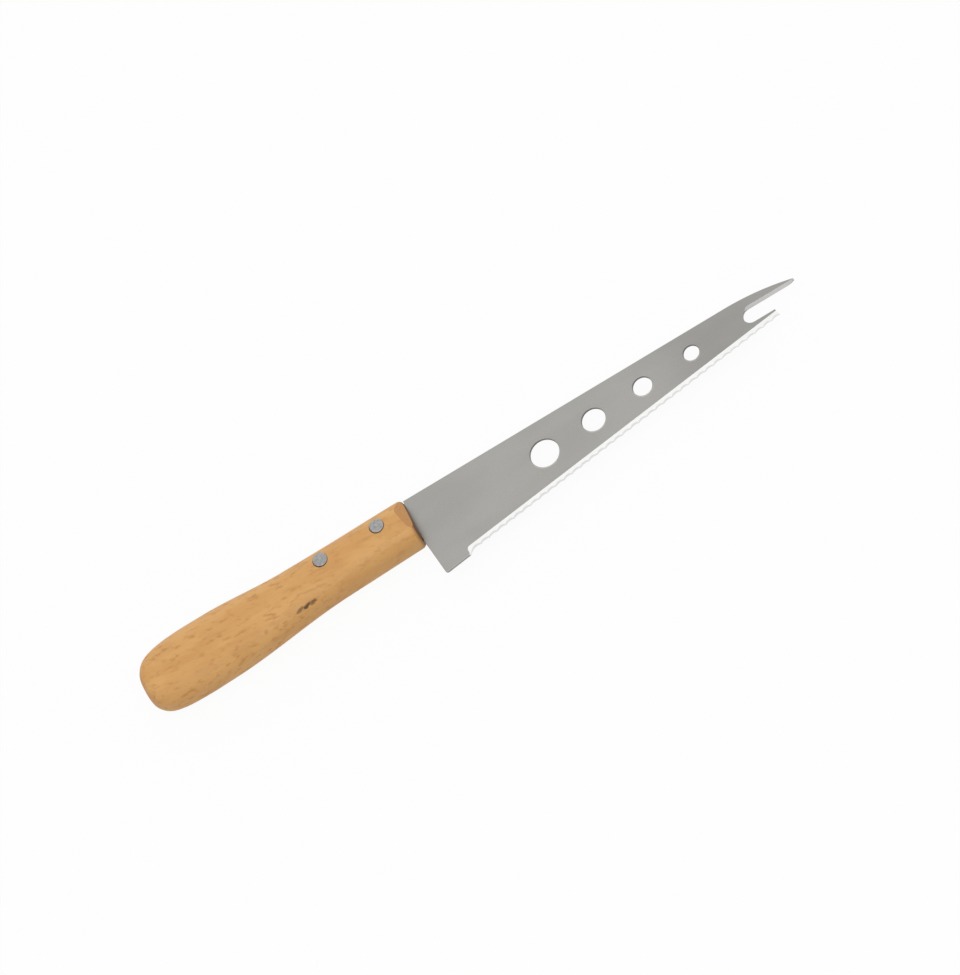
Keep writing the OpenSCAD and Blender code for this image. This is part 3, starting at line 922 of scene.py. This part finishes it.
def sheared_material(name, dark, light):
    """The walls that the blanking tools leave: duller than the faces, and for the punched holes
    given darker colours as painted shade.
    """
    n = Nodes(name)
    tears = n.noise(n.stretched((5.0, 5.0, 0.8)), 3.0, 0.6)
    colour = n.mix(n.ramp(tears, 0.3, 0.7), dark, light)
    return n.set(Base_Color=colour, Metallic=1.0, Roughness=n.ramp(tears, 0.3, 0.7, 0.42, 0.6),
                 Normal=n.bump(tears, 0.015, 0.6))


def rivet_material():
    """Dull metal with a few scratches."""
    n = Nodes("dull_aluminium")
    spots = n.noise(n.stretched((1.1, 1.1, 1.1)), 3.0, 0.6)
    scratches = n.noise(n.stretched((0.5, 5.0, 5.0), source=n.turned((0, 0, 0.7))), 3.0, 0.6)
    colour = n.mix(n.ramp(spots, 0.35, 0.65), srgb(139, 139, 139), srgb(163, 162, 161))
    colour = n.mix(n.ramp(scratches, 0.55, 0.75, 0.0, 0.4), colour, srgb(127, 127, 128))
    return n.set(Base_Color=colour, Metallic=1.0, Roughness=n.ramp(spots, 0.3, 0.7, 0.4, 0.56),
                 Normal=n.bump(spots, 0.03, 0.6))


def wear(obj, materials):
    """Gives an object its materials."""
    obj.data.materials.clear()
    for material in materials:
        obj.data.materials.append(material)


# How a face of the blade was made, in the order of the blade's materials. The ground, fluted and
# milled faces are given lighter colours as a painted highlight, and the punched hole walls darker
# ones as painted shade
SATIN, GROUND, FLUTED, SHEARED, MILLED, PUNCHED = range(6)
# How far a face's middle may lie outside the place where each tool worked
GROUND_NEAR_X = 1.5
GROUND_NEAR_Y = 0.4
MILLED_NEAR_X = 1.0
MILLED_NEAR_Y = 1.2
PUNCHED_NEAR = 0.15
# How far up its normal points: 1 is a flat face and 0 an upright wall
GROUND_UP = (0.1, 0.99)
FLUTED_UP = 0.7
MILLED_UP = (0.45, 0.8)
PUNCHED_UP = 0.9
SHEARED_UP = 0.3
MILLED_AREA = 0.02  # in square millimetres: smaller faces belong to the broken edges


def way_made(poly):
    """Which of the six ways a face of the blade was made."""
    spot, up = (poly.center - ORIGIN) / MM, poly.normal.z
    ground_y = -edge_depth(spot.x) + grind_w(spot.x) + GROUND_NEAR_Y
    if (spot.x > GRIND_FROM - GROUND_NEAR_X and spot.y < ground_y
            and GROUND_UP[0] < up < GROUND_UP[1]):
        return GROUND if up > FLUTED_UP else FLUTED
    if (spot.x > GAP_X - GAP_R - MILLED_NEAR_X
            and abs(spot.y + GAP_DEPTH) < GAP_R + MILLED_NEAR_Y
            and MILLED_UP[0] < up < MILLED_UP[1] and poly.area > MILLED_AREA * MM * MM):
        return MILLED
    in_hole = any(math.hypot(spot.x - x, spot.y + hole_depth(x)) < r + PUNCHED_NEAR
                  for x, r in HOLES)
    if in_hole and up < PUNCHED_UP:
        return PUNCHED
    return SHEARED if abs(up) < SHEARED_UP else SATIN


# Knife
handle = make_handle()
wear(handle, [wood_material()])
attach(handle, "root")
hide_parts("handle")

blade = make_blade()
wear(blade, [steel_material(),
             # painted highlight: the ground and fluted faces are lighter copies of the steel
             ground_material("ground_steel_painted_highlight", srgb(183, 183, 181), srgb(193, 193, 192)),
             ground_material("fluted_steel_painted_highlight", srgb(221, 221, 220), srgb(232, 232, 231)),
             sheared_material("sheared_steel", srgb(150, 149, 146), srgb(170, 169, 166)),
             # painted highlight: the milled faces are a lighter copy of the steel
             ground_material("milled_steel_painted_highlight", srgb(190, 189, 187), srgb(203, 202, 200)),
             # painted shade: the punched hole walls are a darker copy of the steel
             sheared_material("punched_steel_painted_shade", srgb(108, 107, 104), srgb(128, 127, 124))])
for poly in blade.data.polygons:
    poly.material_index = way_made(poly)
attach(blade, "root")
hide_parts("blade")

metal = rivet_material()
for word, x in zip(("front", "rear"), RIVET_AT):
    for obj, node in ((make_sleeve(word, x), "sleeve"), (make_post(word, x), "post")):
        wear(obj, [metal])
        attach(obj, "root")
        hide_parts(word + "_rivet_" + node)

# Stage, light and camera. The floor's half width, its height and the camera's distance are metres
FLOOR_HALF = 30.0
FLOOR_Z = -0.0003
FLOOR_GREY = 0.62
FLOOR_GLOW = 1.04
FLOOR_WHITE_SHARE = 0.9
SKY_LEVEL = 0.61
# The photograph's view: tilted from the blade's normal towards the edge, turned and rolled
VIEW_TILT = 31.0
VIEW_TURN = 8.5
VIEW_ROLL = 38.24
VIEW_AT = (25.68, -10.81, 0)
VIEW_FROM = 6.0
PHOTO_HEIGHT = 975  # in pixels
PIXEL = 0.344  # size of one at the knife
SENSOR_W = 36.0


def seen_share(tree, share):
    """The share for rays that look, straight or in a reflection, and 0 for those that light."""
    path = tree.nodes.new("ShaderNodeLightPath")
    total = path.outputs["Is Camera Ray"]
    for ray in ("Is Glossy Ray", "Is Transmission Ray"):
        more = tree.nodes.new("ShaderNodeMath")
        more.operation = "MAXIMUM"
        tree.links.new(total, more.inputs[0])
        tree.links.new(path.outputs[ray], more.inputs[1])
        total = more.outputs[0]
    scaled = tree.nodes.new("ShaderNodeMath")
    scaled.operation = "MULTIPLY"
    tree.links.new(total, scaled.inputs[0])
    scaled.inputs[1].default_value = share
    return scaled.outputs[0]


def floor_material():
    """Mostly white to the camera, and the rest keeps the knife's soft shadow."""
    material = bpy.data.materials.new("pale_floor")
    material.use_nodes = True
    tree = material.node_tree
    tree.nodes.clear()
    out = tree.nodes.new("ShaderNodeOutputMaterial")
    matte = tree.nodes.new("ShaderNodeBsdfDiffuse")
    matte.inputs["Color"].default_value = (FLOOR_GREY, FLOOR_GREY, FLOOR_GREY, 1)
    shine = tree.nodes.new("ShaderNodeEmission")
    shine.inputs["Color"].default_value = (1, 1, 1, 1)
    shine.inputs["Strength"].default_value = FLOOR_GLOW
    both = tree.nodes.new("ShaderNodeMixShader")
    tree.links.new(seen_share(tree, FLOOR_WHITE_SHARE), both.inputs[0])
    tree.links.new(matte.outputs[0], both.inputs[1])
    tree.links.new(shine.outputs[0], both.inputs[2])
    tree.links.new(both.outputs[0], out.inputs[0])
    return material


def make_floor():
    mesh = bpy.data.meshes.new("floor")
    r, z = FLOOR_HALF, FLOOR_Z
    mesh.from_pydata([(-r, -r, z), (r, -r, z), (r, r, z), (-r, r, z)], [], [(0, 1, 2, 3)])
    mesh.materials.append(floor_material())
    floor = bpy.data.objects.new("floor", mesh)
    bpy.context.scene.collection.objects.link(floor)


def make_world(level):
    """Even light of a level, behind which the background is white."""
    world = bpy.data.worlds.new("studio")
    bpy.context.scene.world = world
    world.use_nodes = True
    tree = world.node_tree
    back = tree.nodes["Background"]
    pick = tree.nodes.new("ShaderNodeMix")
    pick.data_type = "FLOAT"
    tree.links.new(seen_share(tree, 1.0), pick.inputs[0])
    # The node's inputs 2 and 3 are the numbers that it picks from
    pick.inputs[2].default_value = level
    pick.inputs[3].default_value = 1.0
    back.inputs["Color"].default_value = (1, 1, 1, 1)
    tree.links.new(pick.outputs[0], back.inputs["Strength"])


def make_lamp(name, direction, distance, size, level):
    """A square lamp whose brightness, seen from the knife, is level times a white surface's.

    Its distance and size are metres.
    """
    data = bpy.data.lights.new(name, "AREA")
    data.shape = "SQUARE"
    data.size = size
    data.energy = level * math.pi * size * size
    lamp = bpy.data.objects.new(name, data)
    way = Vector(direction).normalized()
    lamp.location = way * distance
    lamp.rotation_mode = "QUATERNION"
    lamp.rotation_quaternion = way.to_track_quat("Z", "Y")
    lamp.visible_camera = False
    bpy.context.scene.collection.objects.link(lamp)


def make_camera():
    tilt, turn, roll = (math.radians(a) for a in (VIEW_TILT, VIEW_TURN, VIEW_ROLL))
    out = Vector((math.sin(tilt) * math.sin(turn), -math.sin(tilt) * math.cos(turn),
                  math.cos(tilt)))
    right = Vector((math.cos(turn), math.sin(turn), 0))
    up = out.cross(right)
    right, up = (right * math.cos(roll) - up * math.sin(roll),
                 right * math.sin(roll) + up * math.cos(roll))
    data = bpy.data.cameras.new("camera")
    data.sensor_fit = "AUTO"
    data.sensor_width = SENSOR_W
    data.lens = SENSOR_W * VIEW_FROM / (PHOTO_HEIGHT * PIXEL * MM)
    data.dof.use_dof = False
    data.clip_start = 0.1
    data.clip_end = 100.0
    camera = bpy.data.objects.new("camera", data)
    turned = Matrix((right, up, out)).transposed().to_4x4()
    camera.matrix_world = Matrix.Translation(at(*VIEW_AT) + out * VIEW_FROM) @ turned
    bpy.context.scene.collection.objects.link(camera)
    bpy.context.scene.camera = camera


make_floor()
make_world(SKY_LEVEL)
make_lamp("overhead", direction=(-0.02, -0.39, 1.0), distance=1.8, size=1.65, level=1.0)
make_lamp("behind", direction=(0.1, 0.92, 0.42), distance=1.8, size=1.45, level=0.9)
make_camera()
bpy.context.scene.view_settings.view_transform = "Standard"
